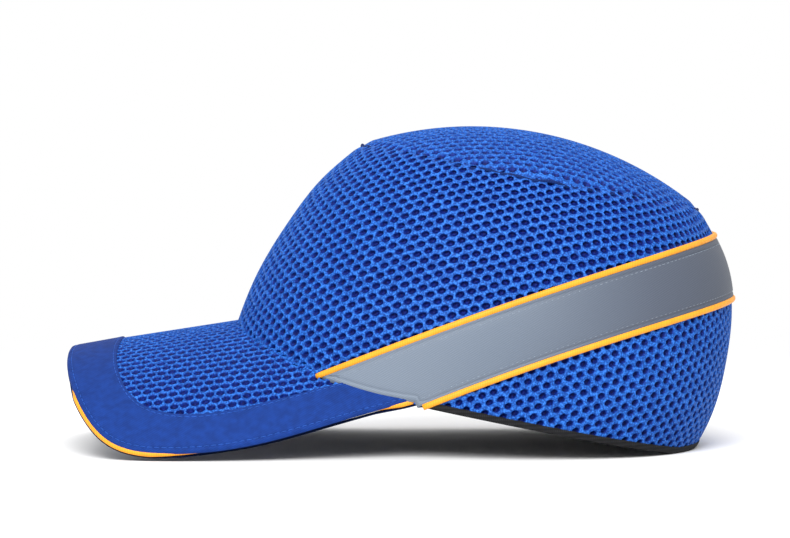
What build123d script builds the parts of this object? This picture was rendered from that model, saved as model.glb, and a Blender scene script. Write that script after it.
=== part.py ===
from build123d import *

import os
from math import copysign, cos, pi, radians, sin, sqrt

# A bump cap: a peaked cap of spacer mesh, closed at the nape, over a loose impact shell
# with foam pads.  Millimetres, +Z up, peak towards -X, standing on its peak and nape hem.
# Side outlines are measured from the front foot of the crown, where it meets the peak.

# ---- Crown form ----
crown_length = 210.8        # front to rear at the fullest level
crown_width = 169.0         # side to side at the fullest level
crown_lead = 13.2           # how far the fullest front stands ahead of the front foot
crown_tilt = 10.8           # the top seam and the hem fall to the rear by this angle
hem_level = 35.5            # hem, measured square to the tilted seam plane
seam_level = 136.2          # top seam, measured the same way
dome_rise = 18.6            # top panel's apex above its seam
fullness = 2.25             # superellipse exponent of the crown's plan
egg = 0.10                  # how much wider the rear of the plan is than the front
plan_points = 24            # points round one plan section

# Level as a share of the way from hem to seam, then insets at front, rear and side
crown_rows = [
    (-0.08, 0.0, 9.6, 1.2),
    (0.14, 2.7, 2.1, 0.0),
    (0.39, 7.8, 0.1, 1.5),
    (0.64, 17.4, 2.6, 7.5),
    (0.84, 28.2, 11.1, 16.5),
    (1.00, 41.2, 24.0, 29.5),
    (1.20, 57.3, 40.1, 46.0),
]
seam_row = 5

# ---- Crown fabric ----
mesh_thickness = 3.0
seam_drop = 1.0             # the top panel turns down over the crown's edge by this much
hem_front_x = 74.0
hem_front_z = 22.4
hem_slope = 11.6
hem_binding_height = 2.6

# ---- Reflective band and its two pipings ----
band_proud = 1.0
piping_width = 2.5
piping_proud = 1.8
upper_line = (125.0, 67.1, 18.3, 1150.0)    # middle x, middle z, slope, radius
lower_line = (145.0, 45.9, 17.3, 770.0)
line_reach = 118.0

# ---- Peak ----
peak_reach = 72.0           # front foot of the crown to the peak's tip
peak_half_width = 85.0
peak_end_x = 76.0           # where the peak's side ends run into the hem
peak_radius = 105.0         # curvature of the top face, side to side
peak_root_z = 53.0          # top face at the front foot of the crown
peak_slope = 8.8            # the peak falls to the front by this angle
peak_top_thickness = 1.6
peak_core_thickness = 1.5
peak_under_thickness = 0.6
peak_piping_width = 2.0
peak_piping_proud = 0.5
border_front = 23.0
border_side = 10.2

# ---- Sweatband, tapes and nape elastic ----
sweatband_thickness = 2.5
sweatband_top_z = 80.0      # top edge at the front foot of the crown
sweatband_top_slope = 13.8
sweatband_end_x = 150.0
elastic_thickness = 1.8
elastic_height = 22.0
tape_thickness = 0.8
tape_height = 9.0

# ---- Impact shell ----
shell_gap = 3.5             # crown fabric to shell
shell_thickness = 1.8
shell_rim_level = 74.0
vent_length = 24.0
vent_width = 7.0
vent_spacing = 34.0         # middle to middle, along the cap
side_vents = 4
side_vent_drop = 24.0       # side vents' middle below the patches' level
side_vent_shift = 2.0       # side vents' middle behind the shell's middle
top_vents = 3
top_vent_gauge = 61.2       # between the two rows of top vents

# ---- Hook-and-loop patches ----
patch_clearance = 0.3
patch_width = 26.0
patch_height = 18.0
patch_level = 97.0
loop_thickness = 1.5

# ---- Foam pads ----
pad_clearance = 0.2
pad_thickness = 4.5
pad_low_level = 80.0
pad_high_level = 108.0
side_pad_length = 78.0
end_pad_width = 70.0
crown_pad_length = 84.0
crown_pad_width = 46.0
pad_corner = 4.0
end_pad_reach = 60.0        # end pads and patches start this far from the top panel's middle
side_pad_reach = 30.0       # side pads and patches start this far from the middle plane

# ---- Values worked out from the above ----
big = 400.0
tilt = radians(crown_tilt)
rear_reach = 212.1          # front foot of the crown to the rearmost piping
front_x = (peak_reach + peak_piping_proud - rear_reach) / 2
peak_thickness = peak_top_thickness + peak_core_thickness + peak_under_thickness
along = Vector(cos(tilt), 0, -sin(tilt))
upward = Vector(sin(tilt), 0, cos(tilt))
crown_plane = Plane(origin=(front_x, 0, 0), x_dir=along, z_dir=upward)
side_plane = Plane(origin=(front_x, 0, 0), x_dir=(1, 0, 0), z_dir=(0, -1, 0))
plan_plane = Plane(origin=(front_x, 0, -20), x_dir=(1, 0, 0), z_dir=(0, 0, 1))
row_share, row_front, row_rear, row_side = crown_rows[seam_row]
top_half_length = (crown_length - row_front - row_rear) / 2
top_half_width = crown_width / 2 - row_side
top_centre = row_front - crown_lead + top_half_length
dome_length_radius = (top_half_length**2 + dome_rise**2) / (2 * dome_rise)
dome_width_radius = (top_half_width**2 + dome_rise**2) / (2 * dome_rise)
apex_level = seam_level + dome_rise
shell_outer = mesh_thickness + shell_gap
shell_inner = shell_outer + shell_thickness
pad_outer = shell_inner + pad_clearance
pad_inner = pad_outer + pad_thickness
hook_outer = mesh_thickness + loop_thickness + patch_clearance


def power(value, exponent):
    """A signed power, for the superellipse."""
    return copysign(abs(value) ** exponent, value)


def plan_section(row, inset):
    """The points of one crown section, pulled in by an inset."""
    share, front, rear, side = row
    start = front - crown_lead
    end = crown_length - crown_lead - rear
    middle = (start + end) / 2
    half_length = (end - start) / 2 - inset
    half_width = crown_width / 2 - side - inset
    lopsided = egg * min(1.0, (1.0 - share) / 0.6)
    points = []
    for step in range(plan_points):
        angle = 2 * pi * step / plan_points
        x = half_length * power(cos(angle), 2 / fullness)
        y = half_width * power(sin(angle), 2 / fullness) * (1 + lopsided * cos(angle))
        points.append((middle + x, y))
    return points


def dome_form(inset):
    """A barrel whose top is the top panel's face, pulled in by an inset."""
    half = top_half_length + 25
    axis_level = apex_level - dome_width_radius
    long_radius = dome_length_radius - inset
    end_level = apex_level - dome_length_radius + sqrt(long_radius**2 - half**2)
    profile_plane = Plane(
        origin=crown_plane.from_local_coords((top_centre, 0, axis_level)),
        x_dir=along,
        z_dir=(0, -1, 0),
    )
    with BuildPart() as form:
        with BuildSketch(profile_plane):
            with BuildLine():
                ThreePointArc(
                    (-half, end_level - axis_level),
                    (0, apex_level - inset - axis_level),
                    (half, end_level - axis_level),
                )
                Polyline(
                    (half, end_level - axis_level),
                    (half, 0),
                    (-half, 0),
                    (-half, end_level - axis_level),
                )
            make_face()
        revolve(axis=Axis(profile_plane.origin, along), revolution_arc=360)
    return form.part


def wall_form(inset):
    """The solid inside the crown's walls, running on past the seam, pulled in by an inset."""
    with BuildPart() as form:
        for row in crown_rows:
            level = hem_level + row[0] * (seam_level - hem_level)
            with BuildSketch(crown_plane.offset(level)):
                with BuildLine():
                    Spline(*plan_section(row, inset), periodic=True)
                make_face()
        loft()
    return form.part


def crown_form(inset):
    """The solid inside the whole crown, walls and dome, pulled in by an inset."""
    with BuildPart() as form:
        add(wall_form(inset))
        add(dome_form(inset), mode=Mode.INTERSECT)
    return form.part


def crown_layer(outer, inner):
    """The layer of the crown that lies between two insets."""
    with BuildPart() as layer:
        add(crown_form(outer))
        add(crown_form(inner), mode=Mode.SUBTRACT)
    return layer.part


def wall_layer(outer, inner):
    """The layer of the walls that lies between two insets, up to the seam."""
    with BuildPart() as layer:
        add(wall_form(outer))
        add(wall_form(inner), mode=Mode.SUBTRACT)
        split(bisect_by=crown_plane.offset(seam_level - seam_drop), keep=Keep.BOTTOM)
    return layer.part


def shifted(line, distance):
    """A band line moved square to itself; it bulges upwards, so its radius grows."""
    x, z, slope, radius = line
    angle = radians(slope)
    return (x - distance * sin(angle), z + distance * cos(angle), slope, radius + distance)


def line_points(line):
    """Start, middle and end of a band line's arc."""
    x, z, slope, radius = line
    angle = radians(slope)
    sag = radius - sqrt(radius**2 - line_reach**2)
    ends = []
    for reach in (-line_reach, line_reach):
        end_x = x + reach * cos(angle) + sag * sin(angle)
        end_z = z + reach * sin(angle) - sag * cos(angle)
        ends.append((end_x, end_z))
    return ends[0], (x, z), ends[1]


def strip_between(lower, upper):
    """Everything that shows between two band lines from the side."""
    low_start, low_middle, low_end = line_points(lower)
    high_start, high_middle, high_end = line_points(upper)
    with BuildPart() as strip:
        with BuildSketch(side_plane):
            with BuildLine():
                ThreePointArc(low_start, low_middle, low_end)
                Line(low_end, high_end)
                ThreePointArc(high_end, high_middle, high_start)
                Line(high_start, low_start)
            make_face()
        extrude(amount=big / 2, both=True)
    return strip.part


def above_hem(lift):
    """Everything above the hem line, raised by a lift; the nape stands on the floor."""
    slope = sin(radians(hem_slope)) / cos(radians(hem_slope))
    floor_x = hem_front_x + hem_front_z / slope
    with BuildPart() as space:
        with BuildSketch(side_plane):
            with BuildLine():
                Polyline(
                    (hem_front_x - big, hem_front_z + big * slope + lift),
                    (floor_x, lift),
                    (big, lift),
                    (big, big),
                    (hem_front_x - big, big),
                    close=True,
                )
            make_face()
        extrude(amount=big / 2, both=True)
    return space.part


def slab(start_x, end_x, low_z, high_z):
    """A block across the cap between two side-view distances and two heights."""
    with BuildPart() as block:
        with BuildSketch(side_plane):
            with Locations(((start_x + end_x) / 2, (low_z + high_z) / 2)):
                Rectangle(end_x - start_x, high_z - low_z)
        extrude(amount=big / 2, both=True)
    return block.part


def peak_cylinder(depth):
    """The cylinder under the peak's top face, a depth below it, up to the peak's end."""
    slope = radians(peak_slope)
    centre_x = peak_radius * sin(slope)
    centre_z = peak_root_z - peak_radius * cos(slope)
    axis_plane = Plane(
        origin=(front_x + centre_x, 0, centre_z),
        x_dir=(0, 1, 0),
        z_dir=(cos(slope), 0, sin(slope)),
    )
    with BuildPart() as cylinder:
        with BuildSketch(axis_plane):
            Circle(peak_radius - depth)
        extrude(amount=big / 2, both=True)
        add(slab(-big / 2, peak_end_x, -big, big), mode=Mode.INTERSECT)
    return cylinder.part


def peak_plan(inset, low=-20.0):
    """The peak's outline in plan, pulled in by an inset, as a tall block."""
    tip = -peak_reach + inset
    side = peak_half_width - inset
    half = [
        (tip, 0),
        (tip + 5.5, 0.62 * side),
        (tip + 21, side - 8.6),
        (tip + 46, side - 1.0),
        (tip + 86, side - 0.2),
        (peak_end_x + 4, side - 4.9),
    ]
    other = [(x, -y) for x, y in half]
    with BuildPart() as block:
        with BuildSketch(plan_plane):
            with BuildLine():
                Spline(*half, tangents=[(0, 1), (1, -0.09)])
                Spline(*other, tangents=[(0, -1), (1, 0.09)])
                Line(half[-1], other[-1])
            make_face()
        extrude(amount=big / 2)
    return block.part


def insert_plan():
    """The outline in plan of the mesh let into the peak, as a tall block."""
    front = border_front - peak_reach
    side = peak_half_width - border_side
    half = [
        (front, 0),
        (front + 2, 0.66 * side),
        (front + 10, side - 9.5),
        (front + 34, side),
        (front + 69, side - 1.0),
        (front + 110, side - 5.0),
    ]
    other = [(x, -y) for x, y in half]
    with BuildPart() as block:
        with BuildSketch(plan_plane):
            with BuildLine():
                Spline(*half, tangents=[(0, 1), (1, -0.09)])
                Spline(*other, tangents=[(0, -1), (1, 0.09)])
                Line(half[-1], other[-1])
            make_face()
        extrude(amount=big / 2)
    return block.part


def peak_layer(outer_depth, inner_depth, inset):
    """One flat layer of the curved peak, outside the crown's inner face."""
    with BuildPart() as layer:
        add(peak_cylinder(outer_depth))
        add(peak_cylinder(inner_depth), mode=Mode.SUBTRACT)
        add(peak_plan(inset), mode=Mode.INTERSECT)
        add(fabric_inside, mode=Mode.SUBTRACT)
        add(slab(-big / 2, big / 2, -big, -10), mode=Mode.SUBTRACT)
    return layer.part


os.makedirs("parts", exist_ok=True)

# ---- Shared spaces ----
fabric_inside = wall_form(mesh_thickness)
peak_space = peak_cylinder(0)
under_peak = peak_cylinder(peak_thickness)
over_hem = above_hem(0)
over_binding = above_hem(hem_binding_height)
far_down = (lower_line[0], lower_line[1] - big / 2, lower_line[2], lower_line[3])
half_piping = piping_width / 2

# ---- Crown panels ----
with BuildPart() as crown_top_panel:
    add(crown_layer(0, mesh_thickness))
    split(bisect_by=crown_plane.offset(seam_level - seam_drop), keep=Keep.TOP)
crown_top_panel.part.label = "crown_top_panel"
export_step(crown_top_panel.part, "parts/crown_top_panel.step")

fabric = wall_layer(0, mesh_thickness)
with BuildPart() as crown_wall_panel:
    add(fabric)
    add(peak_space, mode=Mode.SUBTRACT)
    add(over_binding, mode=Mode.INTERSECT)
    add(strip_between(far_down, lower_line), mode=Mode.SUBTRACT)
crown_wall_panel.part.label = "crown_wall_panel"
export_step(crown_wall_panel.part, "parts/crown_wall_panel.step")

with BuildPart() as nape_panel:
    add(fabric)
    add(peak_space, mode=Mode.SUBTRACT)
    add(over_binding, mode=Mode.INTERSECT)
    add(strip_between(far_down, lower_line), mode=Mode.INTERSECT)
nape_panel.part.label = "nape_panel"
export_step(nape_panel.part, "parts/nape_panel.step")

with BuildPart() as hem_binding:
    add(fabric)
    add(over_hem, mode=Mode.INTERSECT)
    add(over_binding, mode=Mode.SUBTRACT)
    add(slab(peak_end_x, big, -big, big), mode=Mode.INTERSECT)
hem_binding.part.label = "hem_binding"
export_step(hem_binding.part, "parts/hem_binding.step")

# ---- Reflective band and its pipings, on the walls' outer face ----
band_strip = strip_between(shifted(lower_line, half_piping), shifted(upper_line, -half_piping))
with BuildPart() as reflective_band:
    add(wall_layer(-band_proud, 0))
    add(band_strip, mode=Mode.INTERSECT)
    add(peak_space, mode=Mode.SUBTRACT)
    add(over_hem, mode=Mode.INTERSECT)
reflective_band.part.label = "reflective_band"
export_step(reflective_band.part, "parts/reflective_band.step")

piping_layer = wall_layer(-piping_proud, 0)
upper_strip = strip_between(shifted(upper_line, -half_piping), shifted(upper_line, half_piping))
with BuildPart() as band_piping_upper:
    add(piping_layer)
    add(upper_strip, mode=Mode.INTERSECT)
    add(peak_space, mode=Mode.SUBTRACT)
    add(over_hem, mode=Mode.INTERSECT)
band_piping_upper.part.label = "band_piping_upper"
export_step(band_piping_upper.part, "parts/band_piping_upper.step")

lower_strip = strip_between(shifted(lower_line, -half_piping), shifted(lower_line, half_piping))
with BuildPart() as band_piping_lower:
    add(piping_layer)
    add(lower_strip, mode=Mode.INTERSECT)
    add(peak_space, mode=Mode.SUBTRACT)
    add(over_hem, mode=Mode.INTERSECT)
band_piping_lower.part.label = "band_piping_lower"
export_step(band_piping_lower.part, "parts/band_piping_lower.step")

# ---- Peak ----
core_depth = peak_top_thickness + peak_core_thickness
peak_top = peak_layer(0, peak_top_thickness, 0)
with BuildPart() as peak_mesh_insert:
    add(peak_top)
    add(insert_plan(), mode=Mode.INTERSECT)
peak_mesh_insert.part.label = "peak_mesh_insert"
export_step(peak_mesh_insert.part, "parts/peak_mesh_insert.step")

with BuildPart() as peak_border:
    add(peak_top)
    add(insert_plan(), mode=Mode.SUBTRACT)
peak_border.part.label = "peak_border"
export_step(peak_border.part, "parts/peak_border.step")

with BuildPart() as peak_core:
    add(peak_layer(peak_top_thickness, core_depth, peak_piping_width))
peak_core.part.label = "peak_core"
export_step(peak_core.part, "parts/peak_core.step")

with BuildPart() as peak_edge_piping:
    add(peak_plan(-peak_piping_proud))
    add(peak_plan(peak_piping_width), mode=Mode.SUBTRACT)
    add(peak_cylinder(peak_top_thickness), mode=Mode.INTERSECT)
    add(peak_cylinder(core_depth), mode=Mode.SUBTRACT)
    add(fabric_inside, mode=Mode.SUBTRACT)
peak_edge_piping.part.label = "peak_edge_piping"
export_step(peak_edge_piping.part, "parts/peak_edge_piping.step")

with BuildPart() as peak_underside:
    add(peak_layer(core_depth, peak_thickness, 0))
peak_underside.part.label = "peak_underside"
export_step(peak_underside.part, "parts/peak_underside.step")

# ---- Sweatband, nape elastic and seam tape, on the walls' inner face ----
sweatband_inner = mesh_thickness + sweatband_thickness
sweatband_plane = Plane(
    origin=(front_x, 0, sweatband_top_z),
    x_dir=(0, 1, 0),
    z_dir=(sin(radians(sweatband_top_slope)), 0, cos(radians(sweatband_top_slope))),
)
with BuildPart() as sweatband:
    add(wall_layer(mesh_thickness, sweatband_inner))
    add(over_hem, mode=Mode.INTERSECT)
    add(under_peak, mode=Mode.SUBTRACT)
    add(slab(-big / 2, sweatband_end_x, -big, big), mode=Mode.INTERSECT)
    split(bisect_by=sweatband_plane, keep=Keep.BOTTOM)
sweatband.part.label = "sweatband"
export_step(sweatband.part, "parts/sweatband.step")

with BuildPart() as nape_elastic:
    add(wall_layer(mesh_thickness, mesh_thickness + elastic_thickness))
    add(over_hem, mode=Mode.INTERSECT)
    add(above_hem(elastic_height), mode=Mode.SUBTRACT)
    add(slab(sweatband_end_x, big, -big, big), mode=Mode.INTERSECT)
nape_elastic.part.label = "nape_elastic"
export_step(nape_elastic.part, "parts/nape_elastic.step")

with BuildPart() as top_seam_tape:
    add(wall_layer(mesh_thickness, mesh_thickness + tape_thickness))
    split(bisect_by=crown_plane.offset(seam_level - seam_drop - tape_height), keep=Keep.TOP)
top_seam_tape.part.label = "top_seam_tape"
export_step(top_seam_tape.part, "parts/top_seam_tape.step")

# ---- Impact shell: one moulding, open below its rim, with vent slots ----
rim_plane = crown_plane.offset(shell_rim_level)
shell_middle_x = top_centre * cos(tilt) + shell_rim_level * sin(tilt)
with BuildPart() as bump_shell:
    add(crown_layer(shell_outer, shell_inner))
    split(bisect_by=rim_plane, keep=Keep.TOP)
    with BuildSketch(side_plane):
        with Locations((shell_middle_x + side_vent_shift, patch_level - side_vent_drop)):
            with GridLocations(vent_spacing, vent_spacing, side_vents, 1):
                SlotOverall(vent_length, vent_width, rotation=90)
    extrude(amount=big / 2, both=True, mode=Mode.SUBTRACT)
    with BuildSketch(crown_plane.offset(seam_level)):
        with Locations((top_centre, 0)):
            with GridLocations(vent_spacing, top_vent_gauge, top_vents, 2):
                SlotOverall(vent_length, vent_width)
    extrude(amount=dome_rise + 10, mode=Mode.SUBTRACT)
bump_shell.part.label = "bump_shell"
export_step(bump_shell.part, "parts/bump_shell.step")

# ---- Foam pads, on the shell's inner face ----
pad_layer = crown_layer(pad_outer, pad_inner)


def level_block(start, end, side_low, side_high, low, high):
    """A block lying in the crown's tilted frame."""
    with BuildPart() as block:
        with BuildSketch(crown_plane.offset(low)):
            with Locations(((start + end) / 2, (side_low + side_high) / 2)):
                RectangleRounded(end - start, side_high - side_low, pad_corner)
        extrude(amount=high - low)
    return block.part


def blocks_round(end_width, side_length, low, high):
    """Blocks at the front, rear, left and right of the crown, between two levels."""
    front = top_centre - end_pad_reach
    rear = top_centre + end_pad_reach
    half_end = end_width / 2
    side_start = top_centre - side_length / 2
    side_end = top_centre + side_length / 2
    return [
        (-big / 2, front, -half_end, half_end, low, high),
        (rear, big, -half_end, half_end, low, high),
        (side_start, side_end, -big / 2, -side_pad_reach, low, high),
        (side_start, side_end, side_pad_reach, big / 2, low, high),
    ]


half_crown = crown_pad_length / 2
round_blocks = blocks_round(end_pad_width, side_pad_length, pad_low_level, pad_high_level)
pad_blocks = {
    "front_pad": round_blocks[0],
    "rear_pad": round_blocks[1],
    "side_pad_left": round_blocks[2],
    "side_pad_right": round_blocks[3],
    "crown_pad": (
        top_centre - half_crown,
        top_centre + half_crown,
        -crown_pad_width / 2,
        crown_pad_width / 2,
        seam_level - 10,
        apex_level + 10,
    ),
}
for pad_name, pad_block in pad_blocks.items():
    with BuildPart() as pad:
        add(pad_layer)
        add(level_block(*pad_block), mode=Mode.INTERSECT)
    pad.part.label = pad_name
    export_step(pad.part, f"parts/{pad_name}.step")

# ---- Hook-and-loop patches between shell and crown fabric ----
patch_low = patch_level - patch_height / 2
patch_high = patch_level + patch_height / 2
patch_blocks = blocks_round(patch_width, patch_width, patch_low, patch_high)
loop_layer = wall_layer(mesh_thickness, mesh_thickness + loop_thickness)
with BuildPart() as loop_patches:
    for patch_block in patch_blocks:
        add(level_block(*patch_block))
    add(loop_layer, mode=Mode.INTERSECT)
loop_patches.part.label = "loop_patches"
export_step(loop_patches.part, "parts/loop_patches.step")

hook_layer = wall_layer(hook_outer, shell_outer)
with BuildPart() as hook_patches:
    for patch_block in patch_blocks:
        add(level_block(*patch_block))
    add(hook_layer, mode=Mode.INTERSECT)
hook_patches.part.label = "hook_patches"
export_step(hook_patches.part, "parts/hook_patches.step")
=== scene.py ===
import math

import bpy
import numpy as np
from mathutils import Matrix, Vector


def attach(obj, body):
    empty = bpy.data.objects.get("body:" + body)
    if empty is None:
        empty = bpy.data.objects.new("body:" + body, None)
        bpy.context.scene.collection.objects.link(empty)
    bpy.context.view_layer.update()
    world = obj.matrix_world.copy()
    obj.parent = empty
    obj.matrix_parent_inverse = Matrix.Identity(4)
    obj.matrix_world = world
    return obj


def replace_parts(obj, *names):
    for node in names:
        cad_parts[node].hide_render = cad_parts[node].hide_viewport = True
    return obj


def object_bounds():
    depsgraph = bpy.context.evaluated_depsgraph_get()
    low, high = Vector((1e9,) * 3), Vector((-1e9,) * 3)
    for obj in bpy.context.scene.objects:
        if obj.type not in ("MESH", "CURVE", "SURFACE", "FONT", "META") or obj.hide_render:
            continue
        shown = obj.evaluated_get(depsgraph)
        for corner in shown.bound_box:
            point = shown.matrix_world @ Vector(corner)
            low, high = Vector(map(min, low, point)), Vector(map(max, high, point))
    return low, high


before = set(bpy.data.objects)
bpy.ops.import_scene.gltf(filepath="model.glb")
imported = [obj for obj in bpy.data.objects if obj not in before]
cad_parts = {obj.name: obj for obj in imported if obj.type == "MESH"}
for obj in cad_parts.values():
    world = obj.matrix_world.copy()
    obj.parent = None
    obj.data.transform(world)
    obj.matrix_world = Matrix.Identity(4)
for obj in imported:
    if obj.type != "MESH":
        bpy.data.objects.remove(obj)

cad_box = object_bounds()

# ---- Driving dimensions, in millimetres, in the cap's own side view ----
# The front foot is where the crown meets the peak on the middle plane.
MM = 0.001
PEAK_TIP = 72.5
FRONT_FOOT = cad_box[0][0] + PEAK_TIP * MM
TILT = math.radians(10.8)
CROWN_LENGTH, CROWN_WIDTH, CROWN_LEAD = 210.8, 169.0, 13.2
HEM_LEVEL, SEAM_LEVEL, DOME_RISE = 35.5, 136.2, 18.6
FULLNESS, EGG = 2.25, 0.10
ROW_SHARE = np.array([-0.08, 0.14, 0.39, 0.64, 0.84, 1.00, 1.20])
ROW_FRONT = np.array([0.0, 2.7, 7.8, 17.4, 28.2, 41.2, 57.3])
ROW_REAR = np.array([9.6, 2.1, 0.1, 2.6, 11.1, 24.0, 40.1])
ROW_SIDE = np.array([1.2, 0.0, 1.5, 7.5, 16.5, 29.5, 46.0])
PEAK_RADIUS, PEAK_ROOT_Z, PEAK_SLOPE = 105.0, 53.0, math.radians(8.8)
PEAK_END_X = 76.0
PEAK_THICKNESS = 3.7
HEM_FRONT_X, HEM_FRONT_Z, HEM_SLOPE = 74.0, 22.4, math.radians(11.6)
UPPER_LINE = (125.0, 67.1, 18.3, 1150.0)
LOWER_LINE = (145.0, 45.9, 17.3, 770.0)
FABRIC = 3.0
BAND_PROUD = 1.0
PIPING_RADIUS = 1.3
MESH_PITCH = 4.5
HOLE_LONG, HOLE_SHORT = 1.70, 1.24
PIT_DEPTH = 1.9
STITCH_PITCH, STITCH_LENGTH, STITCH_RADIUS = 2.7, 2.0, 0.17


# ---- Surfaces ----
def cubic(xs, ys):
    """A natural cubic spline through the points, as a function."""
    n = len(xs)
    h = np.diff(xs)
    matrix = np.eye(n)
    right = np.zeros(n)
    for i in range(1, n - 1):
        matrix[i, i - 1], matrix[i, i], matrix[i, i + 1] = h[i - 1], 2 * (h[i - 1] + h[i]), h[i]
        right[i] = 6 * ((ys[i + 1] - ys[i]) / h[i] - (ys[i] - ys[i - 1]) / h[i - 1])
    second = np.linalg.solve(matrix, right)

    def value(x):
        x = np.asarray(x, float)
        i = np.clip(np.searchsorted(xs, x) - 1, 0, n - 2)
        a, b = xs[i + 1] - x, x - xs[i]
        return (
            (second[i] * a**3 + second[i + 1] * b**3) / (6 * h[i])
            + (ys[i] / h[i] - second[i] * h[i] / 6) * a
            + (ys[i + 1] / h[i] - second[i + 1] * h[i] / 6) * b
        )

    return value


front_inset, rear_inset, side_inset = (cubic(ROW_SHARE, row) for row in (ROW_FRONT, ROW_REAR, ROW_SIDE))


def signed_power(value, exponent):
    return np.sign(value) * np.abs(value) ** exponent


def tilted(u, y, level):
    """Points of the tilted crown as points of the frame, in metres."""
    x = u * math.cos(TILT) + level * math.sin(TILT)
    z = -u * math.sin(TILT) + level * math.cos(TILT)
    return np.stack([FRONT_FOOT + x * MM, y * MM + 0 * x, z * MM], axis=-1)


def wall(turn, level, inset=0.0):
    """The crown's wall: turn is 0 at the front, negative on the -Y side; inset goes inwards."""
    turn, level, inset = np.broadcast_arrays(np.asarray(turn, float), np.asarray(level, float), inset)
    share = (level - HEM_LEVEL) / (SEAM_LEVEL - HEM_LEVEL)
    start = front_inset(share) - CROWN_LEAD
    end = CROWN_LENGTH - CROWN_LEAD - rear_inset(share)
    half_length = (end - start) / 2 - inset
    half_width = CROWN_WIDTH / 2 - side_inset(share) - inset
    lopsided = EGG * np.minimum(1.0, (1.0 - share) / 0.6)
    u = (start + end) / 2 - half_length * signed_power(np.cos(turn), 2 / FULLNESS)
    y = half_width * signed_power(np.sin(turn), 2 / FULLNESS) * (1 - lopsided * np.cos(turn))
    return tilted(u, y, level)


TOP_HALF_LENGTH = (CROWN_LENGTH - ROW_FRONT[5] - ROW_REAR[5]) / 2
TOP_HALF_WIDTH = CROWN_WIDTH / 2 - ROW_SIDE[5]
TOP_CENTRE = ROW_FRONT[5] - CROWN_LEAD + TOP_HALF_LENGTH
DOME_LONG = (TOP_HALF_LENGTH**2 + DOME_RISE**2) / (2 * DOME_RISE)
DOME_WIDE = (TOP_HALF_WIDTH**2 + DOME_RISE**2) / (2 * DOME_RISE)


def dome(along, across, inset=0.0):
    """The top panel's face over a plan point, measured from the panel's middle."""
    radius = DOME_WIDE - inset - DOME_LONG + np.sqrt(DOME_LONG**2 - along**2)
    level = SEAM_LEVEL + DOME_RISE - DOME_WIDE + np.sqrt(np.maximum(radius**2 - across**2, 0))
    return tilted(TOP_CENTRE + along, across, level)


def peak(along, round_, depth=0.0):
    """The peak's top face: distance along its slope and round its curve from the front foot."""
    angle = round_ / PEAK_RADIUS
    radius = PEAK_RADIUS - depth
    rise = radius * np.cos(angle) - PEAK_RADIUS
    x = along * math.cos(PEAK_SLOPE) - rise * math.sin(PEAK_SLOPE)
    z = PEAK_ROOT_Z + along * math.sin(PEAK_SLOPE) + rise * math.cos(PEAK_SLOPE)
    return np.stack([FRONT_FOOT + x * MM, radius * np.sin(angle) * MM + 0 * x, z * MM], axis=-1)


def side_view(points):
    """Points as distances behind the front foot and heights, in millimetres."""
    return (points[..., 0] - FRONT_FOOT) / MM, points[..., 2] / MM


def above_line(points, line, shift=0.0):
    """How far points stand above a band line, in millimetres, seen from the side."""
    x, z = side_view(points)
    middle_x, middle_z, slope, radius = line
    angle = math.radians(slope)
    centre_x = middle_x + radius * math.sin(angle)
    centre_z = middle_z - radius * math.cos(angle)
    return np.hypot(x - centre_x, z - centre_z) - radius - shift


def above_peak(points):
    """How far points stand outside the peak's top face, in millimetres."""
    x, z = side_view(points)
    y = points[..., 1] / MM
    rise = (z - PEAK_ROOT_Z) * math.cos(PEAK_SLOPE) - x * math.sin(PEAK_SLOPE)
    return np.hypot(rise + PEAK_RADIUS, y) - PEAK_RADIUS


def above_hem(points):
    """How far points stand above the hem line, which rests on the floor at the nape."""
    x, z = side_view(points)
    line = HEM_FRONT_Z - (x - HEM_FRONT_X) * math.tan(HEM_SLOPE)
    return z - np.maximum(line, 0.0)


def above_foot(points):
    """How far points stand above the peak, or above the hem behind the peak's ends."""
    x, _ = side_view(points)
    return np.where(x < PEAK_END_X, np.minimum(above_peak(points), above_hem(points)), above_hem(points))


def level_where(turn, height_above, inset=0.0):
    """The level at which the wall crosses a line, for each turn."""
    low = np.full_like(turn, HEM_LEVEL - 8.0)
    high = np.full_like(turn, SEAM_LEVEL)
    for _ in range(30):
        middle = (low + high) / 2
        over = height_above(wall(turn, middle, inset)) > 0
        high = np.where(over, middle, high)
        low = np.where(over, low, middle)
    return (low + high) / 2


# ---- The wall laid out flat, for its mesh ----
REFERENCE_LEVEL = 75.0
turn_table = np.linspace(-2 * math.pi, 2 * math.pi, 8001)
ring = wall(turn_table, REFERENCE_LEVEL) / MM
arc_table = np.concatenate([[0], np.cumsum(np.linalg.norm(np.diff(ring, axis=0), axis=1))])
arc_table -= np.interp(0.0, turn_table, arc_table)
level_table = np.linspace(HEM_LEVEL - 8, SEAM_LEVEL + 20, 600)
side_table = side_inset((level_table - HEM_LEVEL) / (SEAM_LEVEL - HEM_LEVEL))
rise_table = np.concatenate([[0], np.cumsum(np.hypot(np.diff(level_table), np.diff(side_table)))])
rise_table -= np.interp(REFERENCE_LEVEL, level_table, rise_table)


def flat_to_wall(flat, cone_radius, start_turn):
    """Flat pattern points as turns and levels on the wall."""
    span = np.hypot(flat[..., 0], cone_radius - flat[..., 1])
    swing = np.arctan2(flat[..., 0], cone_radius - flat[..., 1])
    start = np.interp(start_turn, turn_table, arc_table)
    turn = np.interp(start + cone_radius * swing, arc_table, turn_table)
    level = np.interp(cone_radius - span, rise_table, level_table)
    return turn, level


# ---- Mesh helpers ----
def new_object(name, points, faces, material, body="cap", smooth=True):
    data = bpy.data.meshes.new(name)
    data.from_pydata([tuple(p) for p in points], [], [tuple(f) for f in faces])
    data.materials.append(material)
    data.validate()
    if smooth:
        data.polygons.foreach_set("use_smooth", [True] * len(data.polygons))
    made = bpy.data.objects.new(name, data)
    bpy.context.collection.objects.link(made)
    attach(made, body)
    return made


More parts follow.
